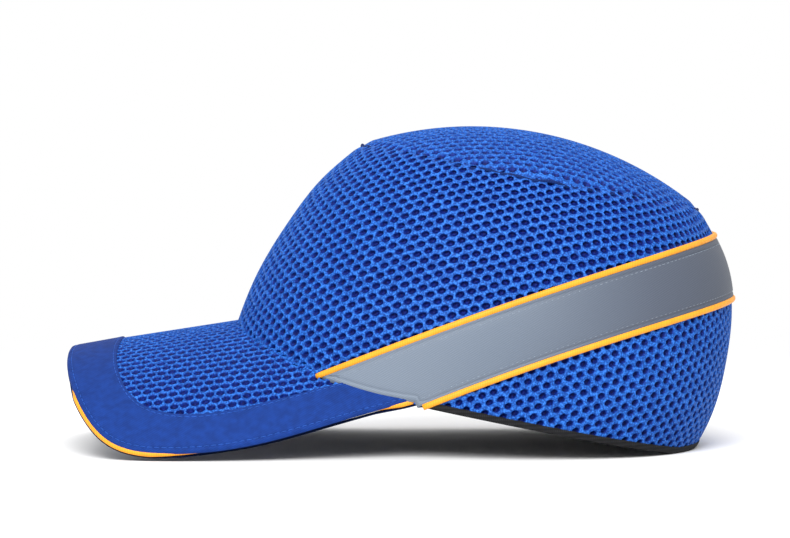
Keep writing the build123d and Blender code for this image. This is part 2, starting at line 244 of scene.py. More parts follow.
def grid_faces(rows, columns, start=0, wrap_rows=False, wrap_columns=False):
    faces = []
    for i in range(rows if wrap_rows else rows - 1):
        for j in range(columns if wrap_columns else columns - 1):
            a = start + i * columns + j
            b = start + i * columns + (j + 1) % columns
            c = start + ((i + 1) % rows) * columns + (j + 1) % columns
            d = start + ((i + 1) % rows) * columns + j
            faces.append((a, b, c, d))
    return faces


def join(parts):
    """One point list and one face list from several."""
    points, faces, start = [], [], 0
    for part_points, part_faces in parts:
        points.append(np.asarray(part_points).reshape(-1, 3))
        faces += [tuple(start + v for v in face) for face in part_faces]
        start += len(points[-1])
    return np.concatenate(points), faces


def tube(path, radius, sides=10, flatten=1.0, normals=None):
    """A tube along a path of points, with capped ends; flatten squeezes it along the normals."""
    path = np.asarray(path)
    forward = np.gradient(path, axis=0)
    forward /= np.linalg.norm(forward, axis=1)[:, None]
    if normals is None:
        normals = np.tile([0.0, 0.0, 1.0], (len(path), 1))
    normals = normals - (normals * forward).sum(1)[:, None] * forward
    normals /= np.linalg.norm(normals, axis=1)[:, None]
    beside = np.cross(forward, normals)
    around = np.linspace(0, 2 * math.pi, sides, endpoint=False)
    rings = (
        path[:, None]
        + radius * np.cos(around)[None, :, None] * beside[:, None]
        + radius * flatten * np.sin(around)[None, :, None] * normals[:, None]
    )
    count = len(path)
    faces = grid_faces(count, sides, wrap_columns=True)
    faces.append(tuple(reversed(range(sides))))
    faces.append(tuple(range((count - 1) * sides, count * sides)))
    return rings.reshape(-1, 3), faces


def stitches(path, normals, pitch=STITCH_PITCH, length=STITCH_LENGTH, radius=STITCH_RADIUS):
    """A row of separate thread dashes along a path, each bedded into the cloth at its ends."""
    path = np.asarray(path)
    steps = np.linalg.norm(np.diff(path, axis=0), axis=1)
    travelled = np.concatenate([[0], np.cumsum(steps)])
    parts = []
    for start in np.arange(pitch * MM, travelled[-1] - pitch * MM, pitch * MM):
        spots = start + np.linspace(0, length * MM, 5)
        line = np.stack([np.interp(spots, travelled, path[:, k]) for k in range(3)], axis=1)
        up = np.stack([np.interp(spots, travelled, normals[:, k]) for k in range(3)], axis=1)
        arch = np.array([-0.9, 0.35, 0.6, 0.35, -0.9])
        line = line + up * (arch * radius * MM)[:, None]
        parts.append(tube(line, radius * MM, 6, 1.0, up))
    return join(parts)


def surface_normals(face, a, b):
    """Outward normals of a parametric face, from a point one millimetre outside it."""
    here = face(a, b, 0.0)
    out = face(a, b, -1.0) - here
    return out / np.linalg.norm(out, axis=-1)[..., None]


# ---- Open spacer mesh: hexagonal cells with a pit each ----
def mesh_cells(span_x, span_y, angle, hole_angle, keep, place, pitch=MESH_PITCH, pit=PIT_DEPTH, rounder=0.0):
    """Cells of a hexagonal lattice over a flat area, placed on a surface."""
    angle = math.radians(angle)
    hole_angle = math.radians(hole_angle)
    step_a = pitch * np.array([math.cos(angle), math.sin(angle)])
    step_b = pitch * np.array([math.cos(angle + math.pi / 3), math.sin(angle + math.pi / 3)])
    reach = int((span_x + span_y) / pitch) + 4
    index = np.arange(-reach, reach + 1)
    centres = (index[:, None, None] * step_a + index[None, :, None] * step_b).reshape(-1, 2)
    inside = (np.abs(centres[:, 0]) < span_x) & (np.abs(centres[:, 1]) < span_y)
    centres = centres[inside]
    centres = centres[keep(centres)]
    spin = np.arange(12) * math.pi / 6 + angle
    corner = pitch / math.sqrt(3)
    edge = np.where(np.arange(12) % 2 == 1, corner, pitch / 2)
    outline = edge[:, None] * np.stack([np.cos(spin), np.sin(spin)], 1)
    local = spin - hole_angle
    long_axis = np.array([math.cos(hole_angle), math.sin(hole_angle)])
    short_axis = np.array([-long_axis[1], long_axis[0]])
    long_half = HOLE_LONG - rounder
    hole = np.cos(local)[:, None] * long_half * long_axis + np.sin(local)[:, None] * HOLE_SHORT * short_axis
    rings = [
        (outline, np.where(np.arange(12) % 2 == 1, -0.02, 0.10)),
        (outline * 0.5 + hole * 0.56, np.full(12, -0.12)),
        (hole, np.full(12, 0.42)),
        (hole * 0.86, np.full(12, pit)),
    ]
    count = len(centres)
    flat = np.concatenate([centres[:, None] + ring_points[None] for ring_points, _ in rings], axis=1)
    depth = np.tile(np.concatenate([d for _, d in rings]), (count, 1))
    flat_all = flat.reshape(-1, 2)
    keys = np.round(flat_all / 0.02).astype(np.int64)
    _, first, inverse = np.unique(keys, axis=0, return_index=True, return_inverse=True)
    inverse = inverse.reshape(-1)
    points = place(flat_all[first], depth.reshape(-1)[first])
    # Painted shade: 0 on the rib tops, rising to 1 on the pit floors. The mesh material turns this into
    # darker blue down each hole.
    painted_pit_shade = np.clip(depth.reshape(-1)[first] / pit, 0, 1)
    faces = []
    for cell in range(count):
        base = cell * 48
        for ring_index in range(3):
            for k in range(12):
                a = base + ring_index * 12 + k
                b = base + ring_index * 12 + (k + 1) % 12
                faces.append((inverse[a], inverse[b], inverse[b + 12], inverse[a + 12]))
        faces.append(tuple(inverse[base + 36 + k] for k in range(12)))
    faces = [tuple(int(v) for v in face) for face in faces]
    return points, faces, painted_pit_shade


def mesh_panel(name, node, cells, lining, material):
    """A panel of spacer mesh: its open face and its plain lining."""
    points, faces, painted_pit_shade = cells
    lining_points, lining_faces = lining
    all_points, all_faces = join([(points, faces), (lining_points, lining_faces)])
    made = new_object(name, all_points, all_faces, material)
    # The pit attribute carries the painted shade of the holes. The lining gets a fixed, fairly dark 0.35 on
    # the same ramp.
    pit = made.data.attributes.new("pit", "FLOAT", "POINT")
    values = np.concatenate([painted_pit_shade, np.full(len(lining_points), 0.35)]).astype(np.float32)
    if len(made.data.vertices) == len(values):
        pit.data.foreach_set("value", values)
    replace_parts(made, node)
    return made


# ---- Materials ----
def new_material(name):
    material = bpy.data.materials.new(name)
    material.use_nodes = True
    nodes, links = material.node_tree.nodes, material.node_tree.links
    shader = nodes["Principled BSDF"]
    return material, nodes, links, shader


def add_node(nodes, kind, **settings):
    node = nodes.new(kind)
    for key, value in settings.items():
        if key in node.inputs:
            node.inputs[key].default_value = value
        else:
            setattr(node, key, value)
    return node


def ramp(nodes, links, source, stops):
    """A colour ramp fed by a value."""
    node = nodes.new("ShaderNodeValToRGB")
    elements = node.color_ramp.elements
    elements[0].position, elements[0].color = stops[0][0], (*stops[0][1], 1)
    elements[1].position, elements[1].color = stops[-1][0], (*stops[-1][1], 1)
    for position, colour in stops[1:-1]:
        elements.new(position).color = (*colour, 1)
    links.new(source, node.inputs["Fac"])
    return node.outputs["Color"]


def bump(nodes, links, shader, height, strength, distance):
    node = nodes.new("ShaderNodeBump")
    node.inputs["Strength"].default_value = strength
    node.inputs["Distance"].default_value = distance * MM
    links.new(height, node.inputs["Height"])
    links.new(node.outputs["Normal"], shader.inputs["Normal"])


def weave(nodes, links, thread, turn, rows=2.0):
    """A fine diagonal weave: two crossed wave bands at the thread's spacing, in millimetres."""
    place = add_node(nodes, "ShaderNodeTexCoord")
    mapping = add_node(nodes, "ShaderNodeMapping")
    mapping.inputs["Rotation"].default_value = (0, math.radians(turn), 0)
    links.new(place.outputs["Object"], mapping.inputs["Vector"])
    waves = []
    for direction in ("X", "Z"):
        wave = add_node(nodes, "ShaderNodeTexWave", bands_direction=direction, wave_profile="SIN")
        wave.inputs["Scale"].default_value = 0.314 / (thread * MM) / (rows if direction == "Z" else 1.0)
        wave.inputs["Distortion"].default_value = 0.6
        wave.inputs["Detail"].default_value = 1.0
        links.new(mapping.outputs["Vector"], wave.inputs["Vector"])
        waves.append(wave.outputs["Fac"])
    both = add_node(nodes, "ShaderNodeMath", operation="MULTIPLY")
    links.new(waves[0], both.inputs[0])
    links.new(waves[1], both.inputs[1])
    return both.outputs["Value"], place.outputs["Object"]


def noise(nodes, links, place, size, detail=3.0):
    node = add_node(nodes, "ShaderNodeTexNoise")
    node.inputs["Scale"].default_value = 1.0 / (size * MM)
    node.inputs["Detail"].default_value = detail
    links.new(place, node.inputs["Vector"])
    return node.outputs["Fac"]


def mixed(nodes, links, factor, first, second, kind="MIX"):
    """Two colours mixed by a value; either colour may be a socket."""
    node = nodes.new("ShaderNodeMix")
    node.data_type, node.blend_type = "RGBA", kind
    if isinstance(factor, float):
        node.inputs[0].default_value = factor
    else:
        links.new(factor, node.inputs[0])
    for socket, colour in ((node.inputs[6], first), (node.inputs[7], second)):
        if isinstance(colour, tuple):
            socket.default_value = (*colour, 1)
        else:
            links.new(colour, socket)
    return node.outputs[2]


def spacer_mesh_material():
    """Royal-blue knitted mesh: bright ribs of filament, with painted shade darkening the colour down in the
    pits.
    """
    material, nodes, links, shader = new_material("blue_spacer_mesh")
    pit = add_node(nodes, "ShaderNodeAttribute", attribute_name="pit")
    place = add_node(nodes, "ShaderNodeTexCoord").outputs["Object"]
    # Painted shade: the ramp darkens the blue from the rib tops down into the pits, standing in for the
    # shade inside the holes.
    body = ramp(
        nodes, links, pit.outputs["Fac"],
        [
            (0.0, (0.010, 0.088, 0.39)),
            (0.14, (0.005, 0.048, 0.27)),
            (0.30, (0.001, 0.012, 0.140)),
            (1.0, (0.0003, 0.007, 0.115)),
        ],
    )
    cloudy = noise(nodes, links, place, 0.8, 5.0)
    speckle = [(0.40, (0.42, 0.48, 0.58)), (0.5, (0.95, 0.95, 0.95)), (0.62, (3.0, 1.9, 1.55))]
    yarn = ramp(nodes, links, cloudy, speckle)
    links.new(mixed(nodes, links, 1.0, body, yarn, "MULTIPLY"), shader.inputs["Base Color"])
    wave = add_node(nodes, "ShaderNodeTexWave", bands_direction="DIAGONAL")
    wave.inputs["Scale"].default_value = 0.314 / (0.42 * MM)
    wave.inputs["Distortion"].default_value = 2.5
    wave.inputs["Detail"].default_value = 2.0
    links.new(place, wave.inputs["Vector"])
    bump(nodes, links, shader, wave.outputs["Fac"], 0.5, 0.12)
    shader.inputs["Roughness"].default_value = 0.5
    shader.inputs["Sheen Weight"].default_value = 0.0
    shader.inputs["Sheen Roughness"].default_value = 0.4
    shader.inputs["Sheen Tint"].default_value = (0.35, 0.55, 1.0, 1)
    shader.inputs["Specular IOR Level"].default_value = 0.12
    return material


def woven_material(name, colour, dark, thread=0.4, turn=35.0, roughness=0.8, sheen=0.0):
    """A woven cloth with visible threads and slight colour variation."""
    material, nodes, links, shader = new_material(name)
    threads, place = weave(nodes, links, thread, turn, 2.0)
    cloth = ramp(nodes, links, threads, [(0.0, dark), (0.7, colour)])
    slub = noise(nodes, links, place, 3.0, 8.0)
    worn = ramp(nodes, links, slub, [(0.35, (0.84, 0.84, 0.84)), (0.65, (1.14, 1.14, 1.12))])
    links.new(mixed(nodes, links, 1.0, cloth, worn, "MULTIPLY"), shader.inputs["Base Color"])
    bump(nodes, links, shader, threads, 0.3, 0.12)
    shader.inputs["Roughness"].default_value = roughness
    shader.inputs["Sheen Weight"].default_value = sheen
    shader.inputs["Specular IOR Level"].default_value = 0.15
    return material


def reflective_material():
    """Grey glass-bead tape with painted reflection and shade: lighter at the front and darker towards the
    nape, with a fine diagonal weave under the beads.
    """
    material, nodes, links, shader = new_material("reflective_grey")
    threads, place = weave(nodes, links, 0.5, 30.0, 1.6)
    split = add_node(nodes, "ShaderNodeSeparateXYZ")
    links.new(place, split.inputs[0])
    # Painted reflection and shade: the tape's colour falls from light at the front to dark at the nape along
    # the cap's length.
    painted_light_falloff = add_node(nodes, "ShaderNodeMapRange")
    painted_light_falloff.inputs["From Min"].default_value = FRONT_FOOT + 45 * MM
    painted_light_falloff.inputs["From Max"].default_value = FRONT_FOOT + 205 * MM
    links.new(split.outputs["X"], painted_light_falloff.inputs["Value"])
    tones = [
        (0.0, (0.165, 0.200, 0.250)),
        (0.40, (0.118, 0.146, 0.190)),
        (0.8, (0.078, 0.092, 0.124)),
        (1.0, (0.070, 0.082, 0.110)),
    ]
    length = ramp(nodes, links, painted_light_falloff.outputs["Result"], tones)
    weft = ramp(nodes, links, threads, [(0.0, (0.84, 0.84, 0.84)), (0.6, (1.06, 1.06, 1.06))])
    links.new(mixed(nodes, links, 1.0, length, weft, "MULTIPLY"), shader.inputs["Base Color"])
    bump(nodes, links, shader, threads, 0.25, 0.08)
    shader.inputs["Roughness"].default_value = 0.5
    shader.inputs["Metallic"].default_value = 0.05
    shader.inputs["Specular IOR Level"].default_value = 0.2
    return material


def piping_material():
    """Orange coated piping with a fine cross rib."""
    material, nodes, links, shader = new_material("orange_piping")
    place = add_node(nodes, "ShaderNodeTexCoord").outputs["Object"]
    rib = add_node(nodes, "ShaderNodeTexWave", bands_direction="X")
    rib.inputs["Scale"].default_value = 0.314 / (0.7 * MM)
    rib.inputs["Distortion"].default_value = 0.4
    links.new(place, rib.inputs["Vector"])
    tones = [(0.0, (0.66, 0.24, 0.010)), (0.6, (0.84, 0.335, 0.018))]
    colour = ramp(nodes, links, rib.outputs["Fac"], tones)
    wear = noise(nodes, links, place, 5.0)
    patchy = ramp(nodes, links, wear, [(0.3, (0.92, 0.92, 0.92)), (0.7, (1.05, 1.05, 1.05))])
    links.new(mixed(nodes, links, 1.0, colour, patchy, "MULTIPLY"), shader.inputs["Base Color"])
    bump(nodes, links, shader, rib.outputs["Fac"], 0.3, 0.08)
    shader.inputs["Roughness"].default_value = 0.5
    shader.inputs["Specular IOR Level"].default_value = 0.25
    return material


def towelling_material():
    """Black looped pile of the sweatband."""
    material, nodes, links, shader = new_material("black_towelling")
    place = add_node(nodes, "ShaderNodeTexCoord").outputs["Object"]
    cells = add_node(nodes, "ShaderNodeTexVoronoi")
    cells.inputs["Scale"].default_value = 1.0 / (1.1 * MM)
    links.new(place, cells.inputs["Vector"])
    tones = [(0.0, (0.035, 0.035, 0.04)), (0.7, (0.008, 0.008, 0.010))]
    pile = ramp(nodes, links, cells.outputs["Distance"], tones)
    links.new(pile, shader.inputs["Base Color"])
    bump(nodes, links, shader, cells.outputs["Distance"], 0.8, 0.4)
    shader.inputs["Roughness"].default_value = 0.95
    shader.inputs["Sheen Weight"].default_value = 0.4
    return material


def plastic_material(name, colour, roughness, grain):
    """Moulded plastic with a fine spark-eroded grain and faint flow marks."""
    material, nodes, links, shader = new_material(name)
    place = add_node(nodes, "ShaderNodeTexCoord").outputs["Object"]
    fine = noise(nodes, links, place, grain, 4.0)
    broad = noise(nodes, links, place, 30.0)
    light = tuple(min(1.0, c * 1.25 + 0.004) for c in colour)
    links.new(ramp(nodes, links, broad, [(0.35, colour), (0.7, light)]), shader.inputs["Base Color"])
    bump(nodes, links, shader, fine, 0.25, 0.08)
    shader.inputs["Roughness"].default_value = roughness
    return material


def foam_material():
    """Dark closed-cell foam with a cloth face."""
    material, nodes, links, shader = new_material("pad_foam")
    place = add_node(nodes, "ShaderNodeTexCoord").outputs["Object"]
    cells = add_node(nodes, "ShaderNodeTexVoronoi")
    cells.inputs["Scale"].default_value = 1.0 / (0.8 * MM)
    links.new(place, cells.inputs["Vector"])
    tones = [(0.0, (0.02, 0.02, 0.022)), (0.8, (0.06, 0.06, 0.065))]
    tone = ramp(nodes, links, cells.outputs["Distance"], tones)
    links.new(tone, shader.inputs["Base Color"])
    bump(nodes, links, shader, cells.outputs["Distance"], 0.5, 0.2)
    shader.inputs["Roughness"].default_value = 0.9
    shader.inputs["Sheen Weight"].default_value = 0.15
    return material


mesh_blue = spacer_mesh_material()
twill_blue = woven_material("blue_twill", (0.006, 0.037, 0.215), (0.0035, 0.024, 0.150), 0.38, 30.0)
# The peak's underside cloth: the blue twill at a third of its brightness, as painted shade under the peak.
twill_shaded = woven_material("shaded_twill", (0.002, 0.012, 0.072), (0.001, 0.008, 0.05), 0.38, 30.0)
seam_blue = woven_material("blue_seam", (0.002, 0.020, 0.13), (0.001, 0.009, 0.065), 0.5, 60.0)
thread_blue = woven_material("blue_thread", (0.030, 0.115, 0.46), (0.012, 0.06, 0.30), 0.3, 60.0, 0.6)
thread_grey = woven_material("grey_thread", (0.27, 0.31, 0.37), (0.12, 0.15, 0.19), 0.3, 60.0, 0.6)
tape_black = woven_material("black_tape", (0.016, 0.016, 0.018), (0.006, 0.006, 0.007), 0.8, 0.0)
reflective = reflective_material()
orange = piping_material()
towelling = towelling_material()
shell_plastic = plastic_material("black_shell", (0.012, 0.012, 0.014), 0.38, 0.5)
board_plastic = plastic_material("peak_board", (0.55, 0.55, 0.53), 0.55, 0.8)
hook_plastic = plastic_material("hook_tape", (0.012, 0.012, 0.013), 0.7, 0.6)
loop_cloth = woven_material("loop_tape", (0.02, 0.02, 0.022), (0.008, 0.008, 0.009), 0.5, 20.0, 0.95, 0.5)
foam = foam_material()


# ---- Crown panels ----
WALL_CONE = 420.0
NAPE_CONE = 1500.0


def seam_dip(distance, turn):
    """How far the cloth sinks towards the top seam: a groove with small, uneven puckers."""
    near = np.clip(1.0 - distance / 3.6, 0.0, 1.0)
    pucker = 1.0 + 0.35 * np.sin(31 * turn) + 0.3 * np.sin(19 * turn + 1.3)
    return near**1.5 * (1.0 + 0.5 * pucker)


def place_wall(cone, start_turn, floor_level=None):
    def place(flat, depth):
        turn, level = flat_to_wall(flat, cone, start_turn)
        over = np.maximum(level - SEAM_LEVEL, 0.0) + seam_dip(SEAM_LEVEL - level, turn)
        level = np.minimum(level, SEAM_LEVEL)
        if floor_level is not None:
            lowest = np.interp(np.mod(turn, 2 * math.pi), *floor_level)
            over = over + np.maximum(lowest - level, 0.0)
            level = np.maximum(level, lowest)
        return wall(turn, level, depth + 1.1 * over)

    return place


def keep_wall(flat):
    turn, level = flat_to_wall(flat, WALL_CONE, 0.0)
    spot = wall(turn, np.minimum(level, SEAM_LEVEL))
    fits = (np.abs(turn) < math.pi + 0.012) & (level < SEAM_LEVEL + 2.0)
    return fits & (above_line(spot, UPPER_LINE) > -2.2) & (above_foot(spot) > -1.8)


def keep_nape(flat):
    turn, level = flat_to_wall(flat, NAPE_CONE, math.pi)
    spot = wall(turn, level)
    behind_peak = side_view(spot)[0] > PEAK_END_X - 3
    return (above_line(spot, LOWER_LINE) < 2.2) & (above_hem(spot) > -0.6) & behind_peak


def wall_lining(top_of, foot_of, turns, rows=14):
    low, high = level_where(turns, foot_of, FABRIC), level_where(turns, top_of, FABRIC)
    share = np.linspace(0, 1, rows)
    levels = low[None] + (np.maximum(high, low) - low)[None] * share[:, None]
    points = wall(np.tile(turns, (rows, 1)), levels, FABRIC)
    return points.reshape(-1, 3), grid_faces(rows, len(turns))


def build_crown():
    cells = mesh_cells(340, 150, 13.3, -31.2, keep_wall, place_wall(WALL_CONE, 0.0))
    turns = np.linspace(-math.pi, math.pi, 160)
    foot = wall_lining(lambda p: 1.0 - 0 * p[..., 0], above_foot, turns)
    mesh_panel("crown_wall_mesh", "crown_wall_panel", cells, foot, mesh_blue)
    round_turns = np.linspace(0, 2 * math.pi, 361)
    hem_levels = level_where(round_turns, above_hem) + 0.6
    place = place_wall(NAPE_CONE, math.pi, (round_turns, hem_levels))
    cells = mesh_cells(190, 90, 35.2, -10.8, keep_nape, place, rounder=0.32)
    turns = np.linspace(1.45, 2 * math.pi - 1.45, 90)
    lining = wall_lining(lambda p: above_line(p, LOWER_LINE), above_hem, turns)
    mesh_panel("nape_mesh", "nape_panel", cells, lining, mesh_blue)


def build_top():
    def face(flat):
        along = DOME_LONG * np.sin(flat[..., 0] / DOME_LONG)
        across = DOME_WIDE * np.sin(flat[..., 1] / DOME_WIDE)
        return along, across

    def rim(along, across):
        return np.hypot(along / TOP_HALF_LENGTH, across / TOP_HALF_WIDTH)

    def keep(flat):
        return rim(*face(flat)) < 1.03

    def place(flat, depth):
        along, across = face(flat)
        reach = rim(along, across)
        over = np.maximum(reach - 1.0, 0.0) * 60.0
        shrink = np.where(reach > 1.0, 1.0 / np.maximum(reach, 1e-6), 1.0)
        bearing = np.arctan2(across / TOP_HALF_WIDTH, along / TOP_HALF_LENGTH)
        dip = seam_dip((1.0 - np.minimum(reach, 1.0)) * 62.0, bearing)
        return dome(along * shrink, across * shrink, depth + 1.1 * over + dip)

    cells = mesh_cells(90, 75, 4.0, 0.0, keep, place)
    rows, columns = 12, 72
    swing = np.linspace(0, 2 * math.pi, columns, endpoint=False)
    share = np.linspace(0.02, 0.985, rows)[:, None]
    points = dome(share * TOP_HALF_LENGTH * np.cos(swing), share * TOP_HALF_WIDTH * np.sin(swing), FABRIC)
    lining = (points.reshape(-1, 3), grid_faces(rows, columns, wrap_columns=True) + [tuple(range(columns))])
    mesh_panel("crown_top_mesh", "crown_top_panel", cells, lining, mesh_blue)
    swing = np.linspace(0, 2 * math.pi, 361)
    rise = 1.15 + 0.25 * np.sin(31 * swing) + 0.2 * np.sin(19 * swing + 1.3)
    along, across = TOP_HALF_LENGTH * np.cos(swing), TOP_HALF_WIDTH * np.sin(swing)
    path = dome(along, across, rise)
    normals = surface_normals(dome, along * 0.97, across * 0.97)
    new_object("top_seam_fold", *tube(path, 0.8 * MM, 8, 1.0, normals), seam_blue)


# ---- Band and pipings ----
def line_path(line, shift, proud, count=360):
    """Where a band line runs on the wall, from one foot round the nape to the other."""
    turns = np.linspace(0.3, 2 * math.pi - 0.3, count)
    levels = level_where(turns, lambda p: above_line(p, line, shift))
    spots = wall(turns, levels)
    shown = above_foot(spots) > -1.2
    turns, levels = turns[shown], levels[shown]
    return wall(turns, levels, -proud), surface_normals(wall, turns, levels)


def build_band():
    count = 300
    turns = np.linspace(0.3, 2 * math.pi - 0.3, count)
    low = level_where(turns, lambda p: above_line(p, LOWER_LINE))
    foot = level_where(turns, lambda p: above_foot(p) + 1.0)
    high = level_where(turns, lambda p: above_line(p, UPPER_LINE))
    low = np.maximum(low, foot)
    shown = high - low > 0.4
    turns, low, high = turns[shown], low[shown], high[shown]
    edge = np.array([0, 0.6, 1.1, 1.7, 2.5, 2.9, 3.3, 4.2])
    rise = np.array([0.1, 0.5, 0.85, 1.0, 0.9, 0.62, 0.9, 1.0])
    width = (high - low)[None]
    near = np.minimum(edge[:, None], width / 2)
    middle = np.linspace(0, 1, 9)[1:-1, None] * (width - 2 * near[-1]) + near[-1]
    across = np.concatenate([near, middle, (width - near)[::-1]])
    proud = np.concatenate([rise, np.full(7, 1.0), rise[::-1]])[:, None] * BAND_PROUD
    levels = low[None] + across
    points = wall(np.tile(turns, (len(levels), 1)), levels, -proud)
    back = wall(np.tile(turns, (2, 1)), np.stack([low, high]), 0.1)
    outer = grid_faces(len(levels), len(turns))
    points, faces = join([(points.reshape(-1, 3), outer), (back.reshape(-1, 3), grid_faces(2, len(turns)))])
    band = new_object("reflective_tape", points, faces, reflective)
    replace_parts(band, "reflective_band")
    seams = []
    for line, shift in ((UPPER_LINE, -3.6), (LOWER_LINE, 3.6)):
        path, normals = line_path(line, shift, BAND_PROUD * 0.82)
        seams.append(stitches(path, normals, 2.4, 1.9, 0.15))
    new_object("band_stitches", *join(seams), thread_grey)
    for name, line in (("piping_upper", UPPER_LINE), ("piping_lower", LOWER_LINE)):
        path, normals = line_path(line, 0.0, 0.55)
        piece = new_object(name, *tube(path, PIPING_RADIUS * MM, 14, 0.92, normals), orange)
        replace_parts(piece, "band_" + name)


# ---- Peak ----
def smooth_outline(points, count=260):
    """A smooth curve through the points and their mirror image, evenly spaced."""
    full = np.array([(x, -y) for x, y in reversed(points)] + list(points[1:]), float)
    travel = np.concatenate([[0], np.cumsum(np.linalg.norm(np.diff(full, axis=0), axis=1))])
    fine = np.linspace(0, travel[-1], 3000)
    curve = np.stack([cubic(travel, full[:, k])(fine) for k in (0, 1)], axis=1)
    length = np.concatenate([[0], np.cumsum(np.linalg.norm(np.diff(curve, axis=0), axis=1))])
    even = np.linspace(0, length[-1], count)
    return np.stack([np.interp(even, length, curve[:, k]) for k in (0, 1)], axis=1)


def plan_to_peak(plan):
    """Plan points as distances along and round the peak's top face."""
    angle = np.arcsin(np.clip(plan[..., 1] / PEAK_RADIUS, -0.99, 0.99))
    drop = PEAK_RADIUS * np.cos(angle) - PEAK_RADIUS
    along = (plan[..., 0] + drop * math.sin(PEAK_SLOPE)) / math.cos(PEAK_SLOPE)
    return np.stack([along, PEAK_RADIUS * angle], axis=-1)


# Half outlines in plan, as distances behind the front foot and to the side.
PEAK_HALF = [(-72, 0), (-66.5, 54.064), (-51, 78.8), (-26, 86.0), (14, 87.0), (48, 84.0), (78, 81.2)]
INSERT_HALF = [(-49, 0), (-47, 50), (-39, 66), (-15, 75.3), (20, 74.4), (52, 71.5)]


def build_peak_border(outline, inner, reach):
    """The twill border: a raised fold along the mesh, stitch grooves and a rounded outer edge."""
    inward = np.array([0, 0.35, 0.9, 1.5, 1.9, 2.3, 3.2])
    inward_depth = np.array([0.9, -0.35, -0.75, -0.7, -0.42, -0.66, -0.6])
    outward = np.array([0, 0.25, 0.8, 1.7, 2.3, 2.7, 3.4])
    outward_depth = np.array([1.45, 0.75, 0.15, -0.12, 0.22, -0.15, -0.22])
    width = np.maximum(reach, 8.0)
    middle = np.linspace(0, 1, 10)[1:-1]
    share = [d / width for d in inward]
    share += [inward[-1] / width + m * (1 - (inward[-1] + outward[-1]) / width) for m in middle]
    share += [1 - d / width for d in outward[::-1]]
    share = np.array(share)[..., None]
    depth = np.concatenate([inward_depth, -0.6 + middle * 0.38, outward_depth[::-1]])
    flat = inner[None] * (1 - share) + outline[None] * share
    top = peak(flat[..., 0], flat[..., 1], depth[:, None])
    faces = grid_faces(len(depth), len(outline))
    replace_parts(new_object("peak_border_cloth", top.reshape(-1, 3), faces, twill_blue), "peak_border")


def outward_directions(outline):
    """Unit directions square to an outline, pointing away from its middle."""
    away = outline - np.roll(outline, 1, axis=0)
    away[0] = away[1]
    away = np.stack([-away[:, 1], away[:, 0]], axis=1)
    away /= np.linalg.norm(away, axis=1)[:, None]
    away *= np.sign((away * (outline - outline.mean(0))).sum(1))[:, None]
    return away


def build_peak_edge(outline):
    """Piping in the peak's edge, deeper where the border folds over it, and the cloth beneath."""
    away = outward_directions(outline)
    hidden = np.interp(outline[:, 0], [-40, -14, 52, 64], [0.0, 1.0, 1.0, 0.0])
    hidden = np.maximum(hidden, np.interp(np.abs(outline[:, 1]), [48, 62], [1.0, 0.0]))
    edge = outline - away * (0.15 + 2.0 * hidden)[:, None]
    path = peak(edge[:, 0], edge[:, 1], 2.05)
    normals = surface_normals(peak, edge[:, 0], edge[:, 1])
    cord = new_object("peak_edge_cord", *tube(path, 1.15 * MM, 14, 1.0, normals), orange)
    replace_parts(cord, "peak_edge_piping")

    turns = np.linspace(-1, 1, len(outline)) * 1.62
    mouth = wall(turns, level_where(turns, above_foot, FABRIC), FABRIC)
    mouth_flat = plan_to_peak(np.stack([(mouth[:, 0] - FRONT_FOOT) / MM, mouth[:, 1] / MM], axis=1))
    rows = np.concatenate([[0.0, 0.012, 0.03], np.linspace(0.06, 1, 18)])
    depth = np.concatenate([[2.95, 3.45, 3.65], np.full(18, PEAK_THICKNESS)])
    lip = (outline + away * (1.1 * (1.0 - hidden) + 0.1)[:, None])[None]
    flat = lip * (1 - rows[:, None, None]) + mouth_flat[None] * rows[:, None, None]
    under = peak(flat[..., 0], flat[..., 1], depth[:, None])
    faces = grid_faces(len(rows), len(outline))
    # The cloth under the peak uses the shaded copy of the blue twill, as painted shade.
    below = new_object("peak_under_cloth", under.reshape(-1, 3), faces, twill_shaded)
    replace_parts(below, "peak_underside")


def build_peak_stitches(outline, inner, reach):
    """One row along the folded inner edge and one near the outer edge."""
    seams = []
    for distance, deep, side, other in ((1.9, -0.5, inner, outline), (2.3, 0.12, outline, inner)):
        line = side + (other - side) / reach[:, None] * distance
        path = peak(line[:, 0], line[:, 1], deep)
        normals = surface_normals(peak, line[:, 0], line[:, 1])
        seams.append(stitches(path, normals, 2.9, 2.1, 0.16))
    new_object("peak_stitches", *join(seams), thread_blue)


def build_peak_mesh(inner):
    """The mesh let into the peak, running a little under its border."""
    centre = 20.0

    def around(points):
        return np.mod(np.arctan2(points[:, 1], points[:, 0] - centre), 2 * math.pi)

    def away(points):
        return np.hypot(points[:, 0] - centre, points[:, 1])

    order = np.argsort(around(inner))
    rim_bearing, rim_distance = around(inner)[order], away(inner)[order]

    def keep(flat):
        spot = peak(flat[:, 0], flat[:, 1])
        x, z = side_view(spot)
        u = x * math.cos(TILT) - z * math.sin(TILT)
        outside_crown = np.hypot((u - 92.5) / 101.0, spot[:, 1] / MM / 82.0) > 0.90
        inside_border = away(flat) < np.interp(around(flat), rim_bearing, rim_distance) + 2.8
        return inside_border & outside_crown & (x < 66)

    def place(flat, deep):
        return peak(flat[:, 0], flat[:, 1], deep)

    cells = mesh_cells(130, 110, 0.0, 0.0, keep, place, 4.3, 1.4)
    mesh_panel("peak_mesh", "peak_mesh_insert", cells, (np.zeros((0, 3)), []), mesh_blue)


def build_peak():
    outline = plan_to_peak(smooth_outline(PEAK_HALF))
    inner = plan_to_peak(smooth_outline(INSERT_HALF))
    reach = np.linalg.norm(outline - inner, axis=1)
    build_peak_border(outline, inner, reach)
    build_peak_edge(outline)
    build_peak_stitches(outline, inner, reach)
    build_peak_mesh(inner)


